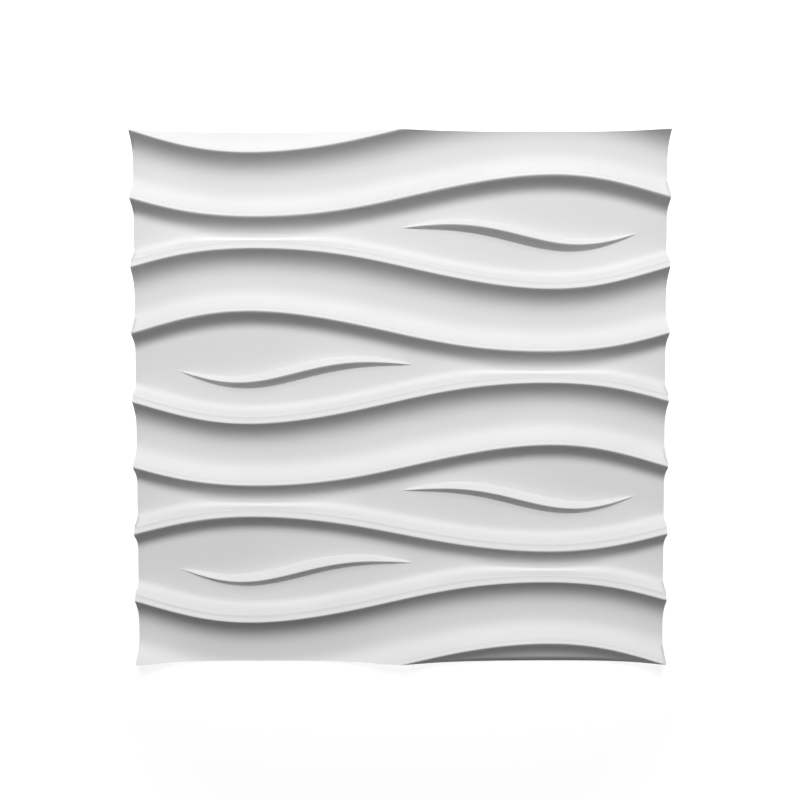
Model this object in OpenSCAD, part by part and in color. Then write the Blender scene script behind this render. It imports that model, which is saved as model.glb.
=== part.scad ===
// Wall tile with moulded waves: one thin sheet, pressed so that sharp crests wander down
// its face and part in pairs round four flat eyes, each with a raised vein.
// It lies on its back with the waves up: X is the tile's width, Y runs up the wall.

/* [Tile] */
// Width of the tile
tile_w = 500; // [400:10:700]
// Height of the tile, up the wall
tile_h = 500; // [440:10:700]
// Depth of the relief, from the flat floors to the crests
relief = 17; // [8:0.5:22]
// Thickness of the moulded sheet
sheet = 1; // [0.8:0.1:3]

/* [Crests] */
// How far a crest swings to each side of its own level
crest_swing = 19.1; // [8:0.1:22]
// How far an eye pushes each of its two crests aside, a quarter of the way across the tile
eye_spread = 1.9; // [0:0.1:4]
// How far it pushes each of them aside at the tile's two sides
side_spread = 0.7; // [0:0.1:2]
// Width of the hollow flank beside a crest, where an eye's flat floor ends
flank_w = 20; // [8:0.5:22]
// Power of the hollow in the flank below a crest: a higher one is steeper at the top
lower_hollow = 2.7; // [1.5:0.1:3.5]
// Power of the hollow in the flank above a crest, up to its lip
upper_hollow = 4; // [2:0.1:5]
// Radius of the rounded edge on top of a crest
crest_r = 0.8; // [0.3:0.1:1.6]
// Width of the rounded lip along the upper side of a crest
lip_w = 5.2; // [3:0.1:6]
// Height of the lip over the shoulder that it rises from
lip_h = 2.4; // [1:0.1:4]
// Radius of that shoulder
shoulder_r = 1.3; // [0.5:0.1:2]

/* [Veins] */
// Length of a vein from tip to tip
vein_len = 219; // [150:1:225]
// Height of a vein above the floor, halfway along
vein_h = 12.5; // [4:0.5:16]
// Width of the vein's side that faces up the wall
vein_upper_w = 6.7; // [3:0.1:10]
// Width of the vein's side that faces down the wall
vein_lower_w = 6.6; // [3:0.1:10]
// Radius of the rounded edge on top of a vein
vein_r = 0.6; // [0.3:0.1:1.6]
// How far a vein swings in its S
vein_sway = 7.8; // [2:0.1:10]
// How far the middle of a vein sags below the line between its tips
vein_sag = 5.1; // [0:0.1:6]
// How far a vein dips a sixth of the way in from each tip, and rises in the middle
vein_curl = 0.6; // [0:0.1:1.5]
// How far the outer tip lies below the inner one
vein_fall = 5.9; // [0:0.1:8]
// Gap from the tile's upright centre line to the inner tip of a right-hand vein
right_vein_gap = 2.4; // [0:0.1:14]
// Distance of a left-hand vein's inner tip past the centre line, on its right
left_vein_reach = 10.8; // [0:0.1:14]
// Height of the inner tip over the middle of its eye, on the vein nearest the top edge
vein_1_lift = 4.9; // [-2:0.1:8]
// The same height on the next vein down
vein_2_lift = 1.8; // [-2:0.1:8]
// The same height on the third vein
vein_3_lift = 7.5; // [-2:0.1:8]
// The same height on the lowest vein
vein_4_lift = 0.8; // [-2:0.1:8]

/* [Hidden] */

// The half that each crest hangs low in, from the top edge down: 1 left, -1 right.
// Two neighbours that differ part round an eye, and two alike run side by side.
crest_sides = [1, 1, -1, -1, 1, 1, -1, 1];
crest_pitch = tile_h / len(crest_sides);
// The swing of a crest between two eyes, and between two plain hollows
two_eye_swing_share = 0.88;
two_hollow_swing_share = 1.09;
// Second and third harmonics of a crest, as shares of its swing
lean_share = 0.073;
round_share = 0.0225;
// The lift of the vein in the gap under each crest, none in a plain hollow
vein_lifts = [0, vein_1_lift, 0, vein_2_lift, 0, vein_3_lift, vein_4_lift, 0];
// Power of the vein's taper to its tips, and of its bulging sides
vein_taper = 0.7;
vein_bulge = 0.7;
// Power of the hollow in the lip
lip_hollow = 1.8;

// The grid that carries the surface
columns = 24;
// Shares of the flank below a crest, in an eye and in a plain hollow
flank_shares = [0, 0.05, 0.16, 0.34, 0.6, 1];
hollow_shares = [0, 0.06, 0.2, 0.48];
// Shares of the flank above a crest, from its shoulder up, and of the lip
shoulder_shares = [0.05, 0.16, 0.34, 0.62, 1];
lip_shares = [0.2, 0.6, 1];
vein_shares = [-1, -0.75, 0, 0.75, 1];
margin_shares = [0, 0.35, 0.7];
// Size that the vein's rows keep at its tips, so that they never meet
least_vein_share = 0.25;
// Least distance between two rows of the grid
row_gap_share = 0.0008;
row_gap = tile_h * row_gap_share;
// Directions in which the back is kept one sheet away from the face, in degrees from
// straight down
back_reach = 75;
back_step = 15;
back_angles = [-back_reach : back_step : back_reach];

function wrapped(i) = (i % len(crest_sides) + len(crest_sides)) % len(crest_sides);
function side(i) = crest_sides[wrapped(i)];
// Whether the gap below crest i opens into an eye
function is_eye(i) = side(i) != side(i + 1);

function swing(i) = crest_swing * (
    is_eye(i - 1) && is_eye(i) ? two_eye_swing_share :
    !is_eye(i - 1) && !is_eye(i) ? two_hollow_swing_share : 1);
// 1 where an eye above pushes crest i down, -1 where one below pushes it up
function parting(i) = (is_eye(i - 1) ? 1 : 0) - (is_eye(i) ? 1 : 0);

// Distance of crest i below the tile's top edge, at x from its left edge
function crest(i, x) = let (a = 360 * x / tile_w)
    i * crest_pitch
    + side(i) * swing(i) * (sin(a) + lean_share * sin(2 * a) + round_share * sin(3 * a))
    + parting(i) * (eye_spread * (1 - cos(2 * a)) / 2
                    + side_spread * (1 + 3 * cos(a) - cos(3 * a)) / 3);

// The crest next above a point, given by x and its distance down from the top edge
function crest_above(x, down) = let (i = floor(down / crest_pitch))
    down < crest(i, x) ? i - 1 : down >= crest(i + 1, x) ? i + 1 : i;

// Height at the distance d from the ridge, on a side that falls from h to nothing over the
// width w, with a rounded edge of the radius r on top
function eased(d, soft) = sqrt(d * d + soft * soft) - soft;
function slope(d, w, h, power, r) = d >= w ? 0 :
    let (soft = r * power * h / w) h * pow(1 - eased(d, soft) / eased(w, soft), power);
function lower_flank(d, w) = slope(d, w, relief, lower_hollow, crest_r);
function upper_flank(d, w) =
    slope(max(0, d - lip_w), w - lip_w, relief - lip_h, upper_hollow, shoulder_r)
    + slope(d, lip_w, lip_h, lip_hollow, crest_r);

// Place along a vein, 0 at its inner tip and 1 at its outer one
function vein_place(i, x) = (side(i) > 0
    ? x - tile_w / 2 - right_vein_gap
    : tile_w / 2 + left_vein_reach - x) / vein_len;
function vein_size(u) = u <= 0 || u >= 1 ? 0 : pow(sin(180 * u), vein_taper);
// Distance of the vein's ridge below the top edge, in the eye under crest i
function vein_down(i, x) = let (u = min(1, max(0, vein_place(i, x))))
    (i + 0.5) * crest_pitch - vein_lifts[wrapped(i)] + vein_fall * u
    + vein_sag * sin(180 * u) + vein_curl * sin(540 * u) - vein_sway * sin(360 * u);
function vein(i, x, down) =
    let (size = vein_size(vein_place(i, x)), d = down - vein_down(i, x),
         w = size * (d < 0 ? vein_upper_w : vein_lower_w))
    size == 0 ? 0 : slope(abs(d), w, vein_h * size, vein_bulge, vein_r);

// Height of the face over the flat floors
function face(x, down) =
    let (i = crest_above(x, down), a = down - crest(i, x), b = crest(i + 1, x) - down,
         w = is_eye(i) ? flank_w : (a + b) / 2)
    max(lower_flank(a, w), upper_flank(b, w), is_eye(i) ? vein(i, x, down) : 0);
// The back, one sheet below the nearest part of the face
function back(x, down) = min([for (t = back_angles) face(x, down + sheet * sin(t)) - sheet * cos(t)]);

function clamp(v, low, high) = min(high, max(low, v));
function reversed(list) = [for (k = [len(list) - 1 : -1 : 0]) list[k]];

// Rows of the grid down the flank above a crest, which is at bottom, and down its lip
function upper_flank_rows(bottom, w, shares) = let (lip = min(lip_w, w / 2))
    concat([for (s = reversed(shares)) bottom - lip - (w - lip) * s],
           [for (s = reversed(lip_shares)) bottom - lip * s]);
// Rows of the grid under crest i: through a plain hollow, or down an eye's two flanks
// with the vein's two sides between them
function hollow_rows(top, bottom) = let (w = (bottom - top) / 2)
    concat([for (s = hollow_shares) top + w * s],
           upper_flank_rows(bottom, w, [for (k = [1 : len(shoulder_shares) - 1]) shoulder_shares[k]]));
function vein_rows(i, x, top, bottom) =
    let (size = max(least_vein_share, vein_size(vein_place(i, x))), n = len(vein_shares))
    [for (k = [0 : n - 1])
        let (s = vein_shares[k], side_w = s < 0 ? vein_upper_w : vein_lower_w)
        clamp(vein_down(i, x) + side_w * size * s, top + (k + 1) * row_gap, bottom - (n - k) * row_gap)];
function eye_rows(i, x) =
    let (top = crest(i, x), bottom = crest(i + 1, x),
         w = min(flank_w, (bottom - top - (len(vein_shares) + 1) * row_gap) / 2))
    concat([for (s = flank_shares) top + w * s], vein_rows(i, x, top + w, bottom - w),
           upper_flank_rows(bottom, w, shoulder_shares));

// All rows of one column, from the top edge to the bottom edge
function rows(x) =
    let (last = len(crest_sides), margin = len(margin_shares) * row_gap,
         top = max(margin, crest(0, x)), bottom = min(tile_h - margin, crest(last, x)))
    concat(
        [for (s = margin_shares) top * s],
        [for (i = [0 : last - 1])
            each is_eye(i) ? eye_rows(i, x)
            : hollow_rows(i == 0 ? top : crest(i, x), i == last - 1 ? bottom : crest(i + 1, x))],
        [for (k = [len(margin_shares) : -1 : 1])
            tile_h - (tile_h - bottom) * (k == len(margin_shares) ? 1 : margin_shares[k])],
        [tile_h]);

// Pairs of triangles between two lines of points that run the same way
function strip(a, b) = [for (k = [0 : len(a) - 2])
    each [[a[k], a[k + 1], b[k + 1]], [a[k], b[k + 1], b[k]]]];

module wall_panel() {
    xs = [for (c = [0 : columns]) tile_w * c / columns];
    downs = [for (x = xs) rows(x)];
    n = len(downs[0]);
    last = columns * n;
    count = (columns + 1) * n;
    grid = [for (c = [0 : columns]) each [for (r = [0 : n - 1])
        [xs[c] - tile_w / 2, tile_h / 2 - downs[c][r]]]];
    heights = [for (c = [0 : columns]) each [for (d = downs[c]) face(xs[c], d)]];
    depths = [for (c = [0 : columns]) each [for (d = downs[c]) back(xs[c], d)]];
    points = concat(
        [for (k = [0 : count - 1]) [grid[k].x, grid[k].y, sheet + heights[k]]],
        [for (k = [0 : count - 1]) [grid[k].x, grid[k].y, sheet + depths[k]]]);
    columns_of = [for (c = [0 : columns]) [for (r = [0 : n - 1]) c * n + r]];
    // Round the tile's outline, clockwise as seen from above
    rim = concat(
        [for (c = [0 : columns]) c * n],
        [for (r = [1 : n - 1]) last + r],
        [for (c = [columns - 1 : -1 : 0]) c * n + n - 1],
        [for (r = [n - 2 : -1 : 0]) r]);
    under_rim = [for (k = rim) k + count];
    skin = [for (c = [0 : columns - 1]) each strip(columns_of[c + 1], columns_of[c])];
    color("whitesmoke")
    polyhedron(points, concat(
        skin,
        [for (t = skin) reversed(t) + [count, count, count]],
        strip(under_rim, rim)));
}

wall_panel();
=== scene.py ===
import math

import bpy
import numpy as np
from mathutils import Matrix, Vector


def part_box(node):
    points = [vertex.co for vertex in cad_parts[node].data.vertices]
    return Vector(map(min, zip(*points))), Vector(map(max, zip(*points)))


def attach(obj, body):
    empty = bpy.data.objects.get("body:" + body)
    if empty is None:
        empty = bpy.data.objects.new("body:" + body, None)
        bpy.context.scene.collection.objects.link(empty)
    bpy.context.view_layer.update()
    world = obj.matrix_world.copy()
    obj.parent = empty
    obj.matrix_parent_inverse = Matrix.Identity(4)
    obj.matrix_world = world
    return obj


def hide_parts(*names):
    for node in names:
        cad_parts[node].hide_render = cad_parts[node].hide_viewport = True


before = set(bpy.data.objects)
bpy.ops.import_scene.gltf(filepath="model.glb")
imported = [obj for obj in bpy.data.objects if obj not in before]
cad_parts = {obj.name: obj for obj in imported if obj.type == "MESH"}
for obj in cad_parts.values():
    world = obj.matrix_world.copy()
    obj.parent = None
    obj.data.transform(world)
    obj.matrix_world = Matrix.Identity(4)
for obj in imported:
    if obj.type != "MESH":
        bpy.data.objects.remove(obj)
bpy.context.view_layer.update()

# The tile's lengths are in millimetres and the studio's in metres
MM = 0.001

# The sheet. Its outline and depth come from the wall panel in model.glb.
LOW, HIGH = (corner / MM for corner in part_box("wall_panel"))
TILE_W, TILE_H, DEPTH = HIGH - LOW
SHEET = 1.0
RELIEF = DEPTH - SHEET

# The crests' lines, from the top edge down
CREST_SIDES = (1, 1, -1, -1, 1, 1, -1, 1)  # the half that each one hangs low in: 1 left, -1 right
CREST_PITCH = TILE_H / len(CREST_SIDES)
CRESTS_BEYOND = 1  # crests past the top and the bottom edge whose gaps reach the tile
CREST_SWING = 19.1  # how far one swings to each side of its level
TWO_EYE_SWING_SHARE = 0.88  # of that, between two eyes
TWO_HOLLOW_SWING_SHARE = 1.09  # of that, between two plain hollows
LEAN_SHARE = 0.073  # second harmonic, which makes the wave lean
ROUND_SHARE = 0.0225  # third harmonic, which makes its bends broader
EYE_SPREAD = 1.9  # how far an eye pushes its two crests aside, a quarter of the way across
SIDE_SPREAD = 0.7  # the same at the tile's sides

# The side below a crest, which falls in one hollow curve
LOWER_FLANK_W = 19.0  # in an eye; in a plain hollow it reaches the middle
LOWER_HOLLOW = 2.7  # power of the curve, where 1 is straight
CREST_R = 0.8  # radius of the edge over a plain hollow, and of every lip
EYE_CREST_R = 1.6  # radius of the edge over an eye

# The side above a crest, with an eye or a plain hollow above it. Each has the width, height and
# power of the crest's rounded lip, and the power of the flank behind it with its edge's radius.
UPPER_FLANK_W = 20.0  # in an eye; in a plain hollow it reaches the middle
EYE_EDGE = {"lip_w": 5.2, "lip_h": 2.4, "lip_hollow": 1.8, "hollow": 4.0, "shoulder_r": 1.3}
PLAIN_EDGE = {"lip_w": 3.0, "lip_h": 2.2, "lip_hollow": 1.5, "hollow": 3.6, "shoulder_r": 0.6}

# Where an eye closes to a throat too narrow for both flanks, the flank under its upper crest
# draws out by this share of what is missing, and the other one narrows down to this width
THROAT_STRETCH = 0.6
THROAT_WALL_W = 9.0

# The S-shaped vein in each eye
VEIN_LEN = 219.0
VEIN_H = 12.5
VEIN_UPPER_W = 6.7
VEIN_LOWER_W = 7.6
VEIN_R = 0.6  # radius of the ridge
VEIN_ROUND = 0.7  # power of both sides, which bulge where it is under 1
VEIN_TAPER = 0.7  # power of the half sine that width and height follow along the vein
VEIN_SWAY = 7.8  # how far the S swings to each side
VEIN_SAG = 5.1  # how far the middle hangs down
VEIN_CURL = 0.6  # how far three smaller bends go to and fro
VEIN_FALL = 5.9  # how far the outer tip lies under the inner one
RIGHT_VEIN_GAP = 2.4  # from the tile's middle to the inner tip of a vein in the right half
LEFT_VEIN_REACH = 10.8  # how far the inner tip of a vein in the left half passes the middle
VEIN_LIFTS = (0, 4.9, 0, 1.8, 0, 7.5, 0.8, 0)  # inner tip over its eye's middle, crest by crest
LEAST_VEIN_SHARE = 1e-3  # of the full size, where a vein ends

# The grid that carries the surface, in steps that lie closer together near a crest
COLUMNS = 128
FLANK_STEPS = 12  # down the side below a crest, in an eye
HOLLOW_STEPS = 15  # the same, in a plain hollow
SHOULDER_STEPS = 13  # down the flank above a crest
LIP_STEPS = 7
VEIN_STEPS = 7  # down each side of a vein
MARGIN_STEPS = 6  # from the top and the bottom edge to the nearest crest
CLOSER = 1.7  # power that packs the steps
ROW_GAP = 0.02  # least distance between two rows
BACK_REACH = 84  # degrees to each side in which the back looks for the nearest part of the face
BACK_STEP = 7
BACK_ANGLES = np.radians(np.arange(-BACK_REACH, BACK_REACH + 1, BACK_STEP))
SHARP_ANGLE = math.radians(80)

# The surface of rigid PVC sheet
PVC_IOR = 1.54
PVC_SPECULAR = 0.12  # low, because the matt grain breaks up the shine
MATT_ROUGHNESS = (0.75, 0.85)  # in the grain's low and high places
CUT_ROUGHNESS = 0.85
CLOUD_W = 90.0  # patches of slightly different tone
CLOUD_RANGE = (0.3, 0.7)  # part of the noise that the two tones are spread over
GRAIN_W = 0.9  # the rolled grain is about 0.3 mm wide, and this is the least that shows
CUT_MARK_W = 1.2  # the knife's marks are about 0.2 mm wide, and this is the least that shows
CUT_MARK_LEN = 15.0
BUMP_DEPTH = 0.2  # of a full bump, of which each pattern has its share
GRAIN_BUMP_SHARE = 0.03
CUT_BUMP_SHARE = 0.2

# The camera, fitted to where the crests and the outline lie in the picture
PICTURE_PX = 800
FOCAL_PX = 1173
SENSOR_MM = 36
CAMERA_DISTANCE = 1.11
CAMERA_LEAN = 0.0546  # radians, towards the tile's top edge
CAMERA_ROLL = -0.0015
CAMERA_X = -0.0004
CAMERA_Y = -0.0006

# Two softboxes in one place beyond the tile's top edge. The even one casts no shadow, so it
# reaches every slope that faces it.
SOFTBOX_ANGLE = math.radians(37)  # from straight above
SOFTBOX_DISTANCE = 2.8
SOFTBOX_W = 1.2
KEY_WATTS = 24.5
EVEN_WATTS = 68
ROOM_LIGHT = 0.02  # what the white room throws on the tile, where 1 is white

# The floor. The glow that the camera sees on it rises to white between the two distances.
FLOOR_HALF_W = 6.0
FLOOR_Z = -0.0001
FLOOR_GLOW = 0.33
LIT_FLOOR_R = 0.4
FAR_FLOOR_R = 1.4


def side(i):
    """The half that crest i hangs low in."""
    return CREST_SIDES[i % len(CREST_SIDES)]


def is_eye(i):
    """Whether the gap below crest i opens into an eye."""
    return side(i) != side(i + 1)


def swing(i):
    """How far crest i swings, by what lies above and below it."""
    if is_eye(i - 1) and is_eye(i):
        return CREST_SWING * TWO_EYE_SWING_SHARE
    if not is_eye(i - 1) and not is_eye(i):
        return CREST_SWING * TWO_HOLLOW_SWING_SHARE
    return CREST_SWING


def crest(i, x):
    """Distance of crest i below the top edge, at x from the left edge."""
    a = 2 * math.pi * x / TILE_W
    wave = np.sin(a) + LEAN_SHARE * np.sin(2 * a) + ROUND_SHARE * np.sin(3 * a)
    round_eye = (1 - np.cos(2 * a)) / 2
    to_sides = (1 + 3 * np.cos(a) - np.cos(3 * a)) / 3
    spread = EYE_SPREAD * round_eye + SIDE_SPREAD * to_sides
    return i * CREST_PITCH + side(i) * swing(i) * wave + (is_eye(i - 1) - is_eye(i)) * spread


def slope(d, w, height, power, radius):
    """Height at the distance d down a side that falls to nothing over the width w, with an
    edge of that radius on top."""
    round_w = radius * power * height / w
    share = (np.hypot(d, round_w) - round_w) / (np.hypot(w, round_w) - round_w)
    return height * np.maximum(1 - share, 0) ** power


def lower_flank(d, w, edge_r):
    """Height at the distance d below a crest."""
    return slope(d, w, RELIEF, LOWER_HOLLOW, edge_r)


def upper_flank(d, w, edge):
    """Height at the distance d above a crest: its lip, on the shoulder of the flank."""
    lip_w, lip_h = edge["lip_w"], edge["lip_h"]
    shoulder = slope(np.maximum(d - lip_w, 0), w - lip_w, RELIEF - lip_h,
                     edge["hollow"], edge["shoulder_r"])
    return shoulder + slope(d, lip_w, lip_h, edge["lip_hollow"], CREST_R)


def vein_place(i, x):
    """Place along the vein in the eye under crest i, 0 at its inner tip and 1 at its outer one."""
    if side(i) > 0:
        place = (x - TILE_W / 2 - RIGHT_VEIN_GAP) / VEIN_LEN
    else:
        place = (TILE_W / 2 + LEFT_VEIN_REACH - x) / VEIN_LEN
    return np.clip(place, 0, 1)


def vein_size(i, x):
    """Share of the full width and height that the vein has at x."""
    return np.abs(np.sin(math.pi * vein_place(i, x))) ** VEIN_TAPER


def vein_down(i, x):
    """Distance of the vein's ridge below the top edge."""
    u = vein_place(i, x)
    tip = (i + 0.5) * CREST_PITCH - VEIN_LIFTS[i % len(VEIN_LIFTS)]
    sag = VEIN_SAG * np.sin(math.pi * u) + VEIN_CURL * np.sin(3 * math.pi * u)
    return tip + VEIN_FALL * u + sag - VEIN_SWAY * np.sin(2 * math.pi * u)


def vein(i, x, down):
    """Height of the vein in the eye under crest i."""
    size = np.maximum(vein_size(i, x), LEAST_VEIN_SHARE)
    d = down - vein_down(i, x)
    upper = slope(-d, VEIN_UPPER_W * size, VEIN_H * size, VEIN_ROUND, VEIN_R)
    lower = slope(d, VEIN_LOWER_W * size, VEIN_H * size, VEIN_ROUND, VEIN_R)
    return np.where(vein_size(i, x) > LEAST_VEIN_SHARE, np.where(d < 0, upper, lower), 0)


def face(x, down):
    """Height of the face over the flat floors."""
    height = np.zeros_like(down)
    for i in range(-CRESTS_BEYOND, len(CREST_SIDES) + CRESTS_BEYOND):
        below, above = down - crest(i, x), crest(i + 1, x) - down
        gap = below + above
        if is_eye(i):
            missing = np.maximum(LOWER_FLANK_W + UPPER_FLANK_W - gap, 0)
            lower_w = LOWER_FLANK_W + THROAT_STRETCH * missing
            upper_w = np.maximum(UPPER_FLANK_W - missing, THROAT_WALL_W)
            lower_r, edge = EYE_CREST_R, EYE_EDGE
        else:
            lower_w = upper_w = gap / 2
            lower_r, edge = CREST_R, PLAIN_EDGE
        level = np.maximum(lower_flank(np.abs(below), lower_w, lower_r),
                           upper_flank(np.abs(above), upper_w, edge))
        if is_eye(i):
            level = np.maximum(level, vein(i, x, down))
        height = np.where((below >= 0) & (above > 0), level, height)
    return height


def back(x, down):
    """Height of the back, one sheet under the nearest part of the face."""
    return np.min([face(x, down + SHEET * math.sin(t)) - SHEET * math.cos(t)
                   for t in BACK_ANGLES], axis=0)


def closer_to_start(steps):
    """Shares from 0 to 1, packed towards 0."""
    return np.linspace(0, 1, steps + 1) ** CLOSER


def closer_to_both(steps):
    """Shares from 0 to 1, packed towards both ends."""
    return (1 - np.cos(np.linspace(0, math.pi, steps + 1))) / 2


def upper_flank_rows(bottom, w, edge):
    """Rows down the flank above a crest and down its lip, without the crest's own row."""
    lip = np.minimum(edge["lip_w"], w / 2)
    flank = [bottom - lip - (w - lip) * s for s in closer_to_start(SHOULDER_STEPS)[:0:-1]]
    return flank + [bottom - lip * s for s in np.linspace(1, 0, LIP_STEPS + 1)[:-1]]


def hollow_rows(top, bottom):
    """Rows down a plain hollow between two crests, without the lower crest's own row."""
    w = (bottom - top) / 2
    lower = [top + w * s for s in closer_to_start(HOLLOW_STEPS)[:-1]]
    return lower + upper_flank_rows(bottom, w, PLAIN_EDGE)


def eye_rows(i, x):
    """Rows down an eye's two flanks, with the two sides of its vein between them."""
    top, bottom = crest(i, x), crest(i + 1, x)
    size, ridge = vein_size(i, x), vein_down(i, x)
    shares = closer_to_both(VEIN_STEPS)
    marks = ([ridge - VEIN_UPPER_W * size * s for s in shares[::-1]]
             + [ridge + VEIN_LOWER_W * size * s for s in shares[1:]])
    # A close pair of rows keeps the foot of each side crisp
    marks = [marks[0] - 2 * ROW_GAP, *marks, marks[-1] + 2 * ROW_GAP]
    room = (bottom - top) / 2 - len(marks) * ROW_GAP
    lower_w, upper_w = np.minimum(LOWER_FLANK_W, room), np.minimum(UPPER_FLANK_W, room)
    middle = []
    for k, mark in enumerate(marks):
        low = (middle[-1] if middle else top + lower_w) + ROW_GAP
        high = bottom - upper_w - (len(marks) - k) * ROW_GAP
        middle.append(np.clip(mark, np.minimum(low, high), high))
    flank = [top + lower_w * s for s in closer_to_start(FLANK_STEPS)]
    return flank + middle + upper_flank_rows(bottom, upper_w, EYE_EDGE)


def tile_rows(x):
    """All rows of the grid, each over every column, from the top edge to the bottom edge."""
    last = len(CREST_SIDES)
    margin = MARGIN_STEPS * ROW_GAP
    top = np.maximum(margin, crest(0, x))
    bottom = np.minimum(TILE_H - margin, crest(last, x))
    shares = closer_to_start(MARGIN_STEPS)
    rows = [top * (1 - s) for s in shares[:0:-1]]
    for i in range(last):
        if is_eye(i):
            rows += eye_rows(i, x)
        else:
            start = top if i == 0 else crest(i, x)
            end = bottom if i == last - 1 else crest(i + 1, x)
            rows += hollow_rows(start, end)
    rows += [bottom + (TILE_H - bottom) * s for s in shares]
    return np.array(rows)


def sheet_points(x, down):
    """Points of the face, row by row, and then those of the back under them, in metres."""
    across = np.broadcast_to(x, down.shape)
    layers = [np.stack([LOW[0] + across, HIGH[1] - down, LOW[2] + SHEET + height], -1)
              for height in (face(across, down), back(across, down))]
    return np.concatenate([layer.reshape(-1, 3) for layer in layers]) * MM


def quads(rows):
    """Faces between neighbouring rows of point numbers."""
    a, b, c, d = rows[:-1, :-1], rows[1:, :-1], rows[1:, 1:], rows[:-1, 1:]
    return np.stack([a, b, c, d], axis=-1).reshape(-1, 4)


def sheet_faces(shape):
    """The faces of the front, of the back and of the cut edge around them."""
    front = np.arange(shape[0] * shape[1]).reshape(shape)
    under = front + front.size
    rim = np.concatenate([front[0, :-1], front[:-1, -1], front[-1, :0:-1], front[:0:-1, 0],
                          front[0, :1]])
    return quads(front), quads(under)[:, ::-1], quads(np.stack([rim + front.size, rim]))


def new_object(name, data):
    made = bpy.data.objects.new(name, data)
    bpy.context.collection.objects.link(made)
    return made


def make_panel():
    """The whole sheet, as one closed mesh."""
    x = np.linspace(0, TILE_W, COLUMNS + 1)
    down = tile_rows(x)
    front, under, cut_edge = sheet_faces(down.shape)
    mesh = bpy.data.meshes.new("wave_sheet")
    mesh.from_pydata(sheet_points(x, down).tolist(), [],
                     np.concatenate([front, under, cut_edge]).tolist())
    mesh.validate()
    mesh.shade_smooth()
    mesh.set_sharp_from_angle(angle=SHARP_ANGLE)
    mesh.materials.append(matt_pvc())
    mesh.materials.append(trimmed_pvc())
    for polygon in mesh.polygons[len(front) + len(under):]:
        polygon.material_index = 1  # the second material
    return new_object("wave_sheet", mesh)


def linear(code):
    """An sRGB hex colour as linear RGBA."""
    parts = [int(code[k:k + 2], 16) / 255 for k in (1, 3, 5)]
    return [c / 12.92 if c <= 0.04045 else ((c + 0.055) / 1.055) ** 2.4 for c in parts] + [1]


def add_node(tree, kind, inputs=None, **settings):
    """Adds a node. inputs gives a socket a value, or another node's socket to link to."""
    made = tree.nodes.new(kind)
    for name, value in settings.items():
        setattr(made, name, value)
    for name, value in (inputs or {}).items():
        if isinstance(value, bpy.types.NodeSocket):
            tree.links.new(value, made.inputs[name])
        else:
            made.inputs[name].default_value = value
    return made


def new_material(name):
    material = bpy.data.materials.new(name)
    material.use_nodes = True
    material.node_tree.nodes.clear()
    return material, material.node_tree


def matt_pvc():
    """Rigid PVC sheet, vacuum-formed, with the fine matt grain that the sheet is rolled with:
    an even white with a broad soft sheen and no clear reflections."""
    material, tree = new_material("matt_white_pvc")
    place = add_node(tree, "ShaderNodeTexCoord").outputs["Object"]
    cloud = add_node(tree, "ShaderNodeTexNoise", {
        "Vector": place, "Scale": 1 / (CLOUD_W * MM), "Detail": 3.0})
    tone = add_node(tree, "ShaderNodeValToRGB", {"Fac": cloud.outputs["Fac"]})
    for stop, share, code in zip(tone.color_ramp.elements, CLOUD_RANGE, ("#D8D8D8", "#DBDBDB")):
        stop.position = share
        stop.color = linear(code)
    grain = add_node(tree, "ShaderNodeTexNoise", {
        "Vector": place, "Scale": 1 / (GRAIN_W * MM), "Detail": 2.0})
    bump = add_node(tree, "ShaderNodeBump", {
        "Strength": GRAIN_BUMP_SHARE, "Distance": BUMP_DEPTH * MM, "Height": grain.outputs["Fac"]})
    rough = add_node(tree, "ShaderNodeMapRange", {
        "Value": grain.outputs["Fac"], "To Min": MATT_ROUGHNESS[0], "To Max": MATT_ROUGHNESS[1]})
    shader = add_node(tree, "ShaderNodeBsdfPrincipled", {
        "Base Color": tone.outputs["Color"], "Roughness": rough.outputs["Result"],
        "IOR": PVC_IOR, "Specular IOR Level": PVC_SPECULAR, "Normal": bump.outputs["Normal"]})
    add_node(tree, "ShaderNodeOutputMaterial", {"Surface": shader.outputs["BSDF"]})
    return material


def trimmed_pvc():
    """The same sheet where the trimming knife cut it: a rougher face with fine upright marks."""
    material, tree = new_material("trimmed_pvc_edge")
    place = add_node(tree, "ShaderNodeTexCoord").outputs["Object"]
    upright = add_node(tree, "ShaderNodeMapping", {
        "Vector": place, "Scale": (1, 1, CUT_MARK_W / CUT_MARK_LEN)})
    marks = add_node(tree, "ShaderNodeTexNoise", {
        "Vector": upright.outputs["Vector"], "Scale": 1 / (CUT_MARK_W * MM), "Detail": 1.0})
    bump = add_node(tree, "ShaderNodeBump", {
        "Strength": CUT_BUMP_SHARE, "Distance": BUMP_DEPTH * MM, "Height": marks.outputs["Fac"]})
    tone = add_node(tree, "ShaderNodeValToRGB", {"Fac": marks.outputs["Fac"]})
    for stop, code in zip(tone.color_ramp.elements, ("#D6D6D6", "#DEDEDE")):
        stop.color = linear(code)
    shader = add_node(tree, "ShaderNodeBsdfPrincipled", {
        "Base Color": tone.outputs["Color"], "Roughness": CUT_ROUGHNESS,
        "IOR": PVC_IOR, "Specular IOR Level": PVC_SPECULAR, "Normal": bump.outputs["Normal"]})
    add_node(tree, "ShaderNodeOutputMaterial", {"Surface": shader.outputs["BSDF"]})
    return material


def seen_rays(tree):
    """1 for what the camera sees straight, in a reflection or through glass, otherwise 0."""
    rays = add_node(tree, "ShaderNodeLightPath").outputs
    straight = add_node(tree, "ShaderNodeMath", {
        0: rays["Is Camera Ray"], 1: rays["Is Glossy Ray"]}, operation="MAXIMUM")
    seen = add_node(tree, "ShaderNodeMath", {
        0: straight.outputs["Value"], 1: rays["Is Transmission Ray"]}, operation="MAXIMUM")
    return seen.outputs["Value"]


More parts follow.
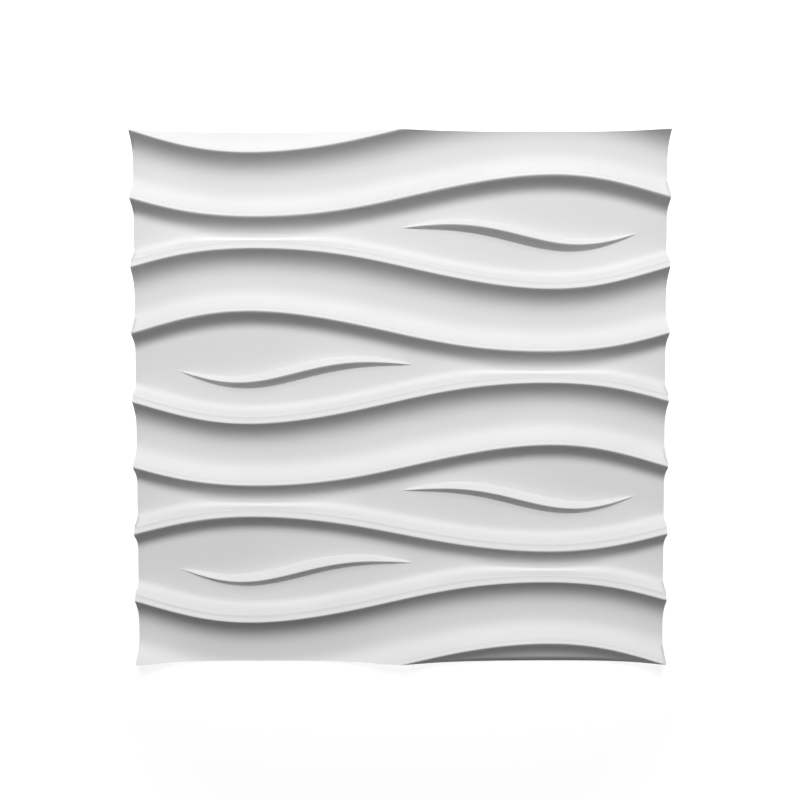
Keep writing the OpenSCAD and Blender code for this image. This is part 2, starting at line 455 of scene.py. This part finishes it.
def studio_floor_paint():
    """Matt pale paint, which the camera sees lighter by the glow that is added, up to white."""
    material, tree = new_material("pale_floor_paint")
    place = add_node(tree, "ShaderNodeTexCoord").outputs["Object"]
    away = add_node(tree, "ShaderNodeVectorMath", {0: place}, operation="LENGTH")
    rise = add_node(tree, "ShaderNodeMapRange", {
        "Value": away.outputs["Value"], "From Min": LIT_FLOOR_R, "From Max": FAR_FLOOR_R,
        "To Min": FLOOR_GLOW, "To Max": 1.0})
    strength = add_node(tree, "ShaderNodeMath", {
        0: seen_rays(tree), 1: rise.outputs["Result"]}, operation="MULTIPLY")
    paint = add_node(tree, "ShaderNodeBsdfDiffuse", {"Color": linear("#F2F2F2")})
    glow = add_node(tree, "ShaderNodeEmission", {
        "Color": linear("#FFFFFF"), "Strength": strength.outputs["Value"]})
    both = add_node(tree, "ShaderNodeAddShader", {
        0: paint.outputs["BSDF"], 1: glow.outputs["Emission"]})
    add_node(tree, "ShaderNodeOutputMaterial", {"Surface": both.outputs["Shader"]})
    return material


def make_floor():
    half = FLOOR_HALF_W
    mesh = bpy.data.meshes.new("floor")
    corners = [(-half, -half), (half, -half), (half, half), (-half, half)]
    mesh.from_pydata([(x, y, FLOOR_Z) for x, y in corners], [], [(0, 1, 2, 3)])
    mesh.materials.append(studio_floor_paint())
    return new_object("floor", mesh)


def add_softbox(name, watts, shadow):
    """A square softbox in the softboxes' place, aimed at the tile's middle."""
    lamp = bpy.data.lights.new(name, "AREA")
    lamp.size = SOFTBOX_W
    lamp.energy = watts
    lamp.use_shadow = shadow
    place = Vector((0, SOFTBOX_DISTANCE * math.sin(SOFTBOX_ANGLE),
                    SOFTBOX_DISTANCE * math.cos(SOFTBOX_ANGLE)))
    softbox = new_object(name, lamp)
    softbox.location = place
    softbox.rotation_euler = (-place).to_track_quat("-Z", "Y").to_euler()


def light_room():
    """A white room with a little even light, which the camera sees as plain white."""
    world = bpy.data.worlds.new("room")
    world.use_nodes = True
    tree = world.node_tree
    tree.nodes.clear()
    level = add_node(tree, "ShaderNodeMapRange", {
        "Value": seen_rays(tree), "To Min": ROOM_LIGHT, "To Max": 1.0})
    glow = add_node(tree, "ShaderNodeBackground", {
        "Color": linear("#FFFFFF"), "Strength": level.outputs["Result"]})
    add_node(tree, "ShaderNodeOutputWorld", {"Surface": glow.outputs["Background"]})
    bpy.context.scene.world = world


def add_camera():
    """Over the tile, a little towards its top edge, and aimed back at its middle."""
    optics = bpy.data.cameras.new("camera")
    optics.sensor_width = SENSOR_MM
    optics.lens = FOCAL_PX * SENSOR_MM / PICTURE_PX
    camera = new_object("camera", optics)
    camera.location = (CAMERA_X, CAMERA_DISTANCE * math.sin(CAMERA_LEAN) + CAMERA_Y,
                       CAMERA_DISTANCE * math.cos(CAMERA_LEAN))
    camera.rotation_euler = (-CAMERA_LEAN, 0, CAMERA_ROLL)
    bpy.context.scene.camera = camera


panel = make_panel()
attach(panel, "root")
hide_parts("wall_panel")

floor = make_floor()

add_softbox("key_softbox", KEY_WATTS, shadow=True)
add_softbox("even_softbox", EVEN_WATTS, shadow=False)
light_room()
add_camera()
bpy.context.scene.view_settings.view_transform = "Standard"
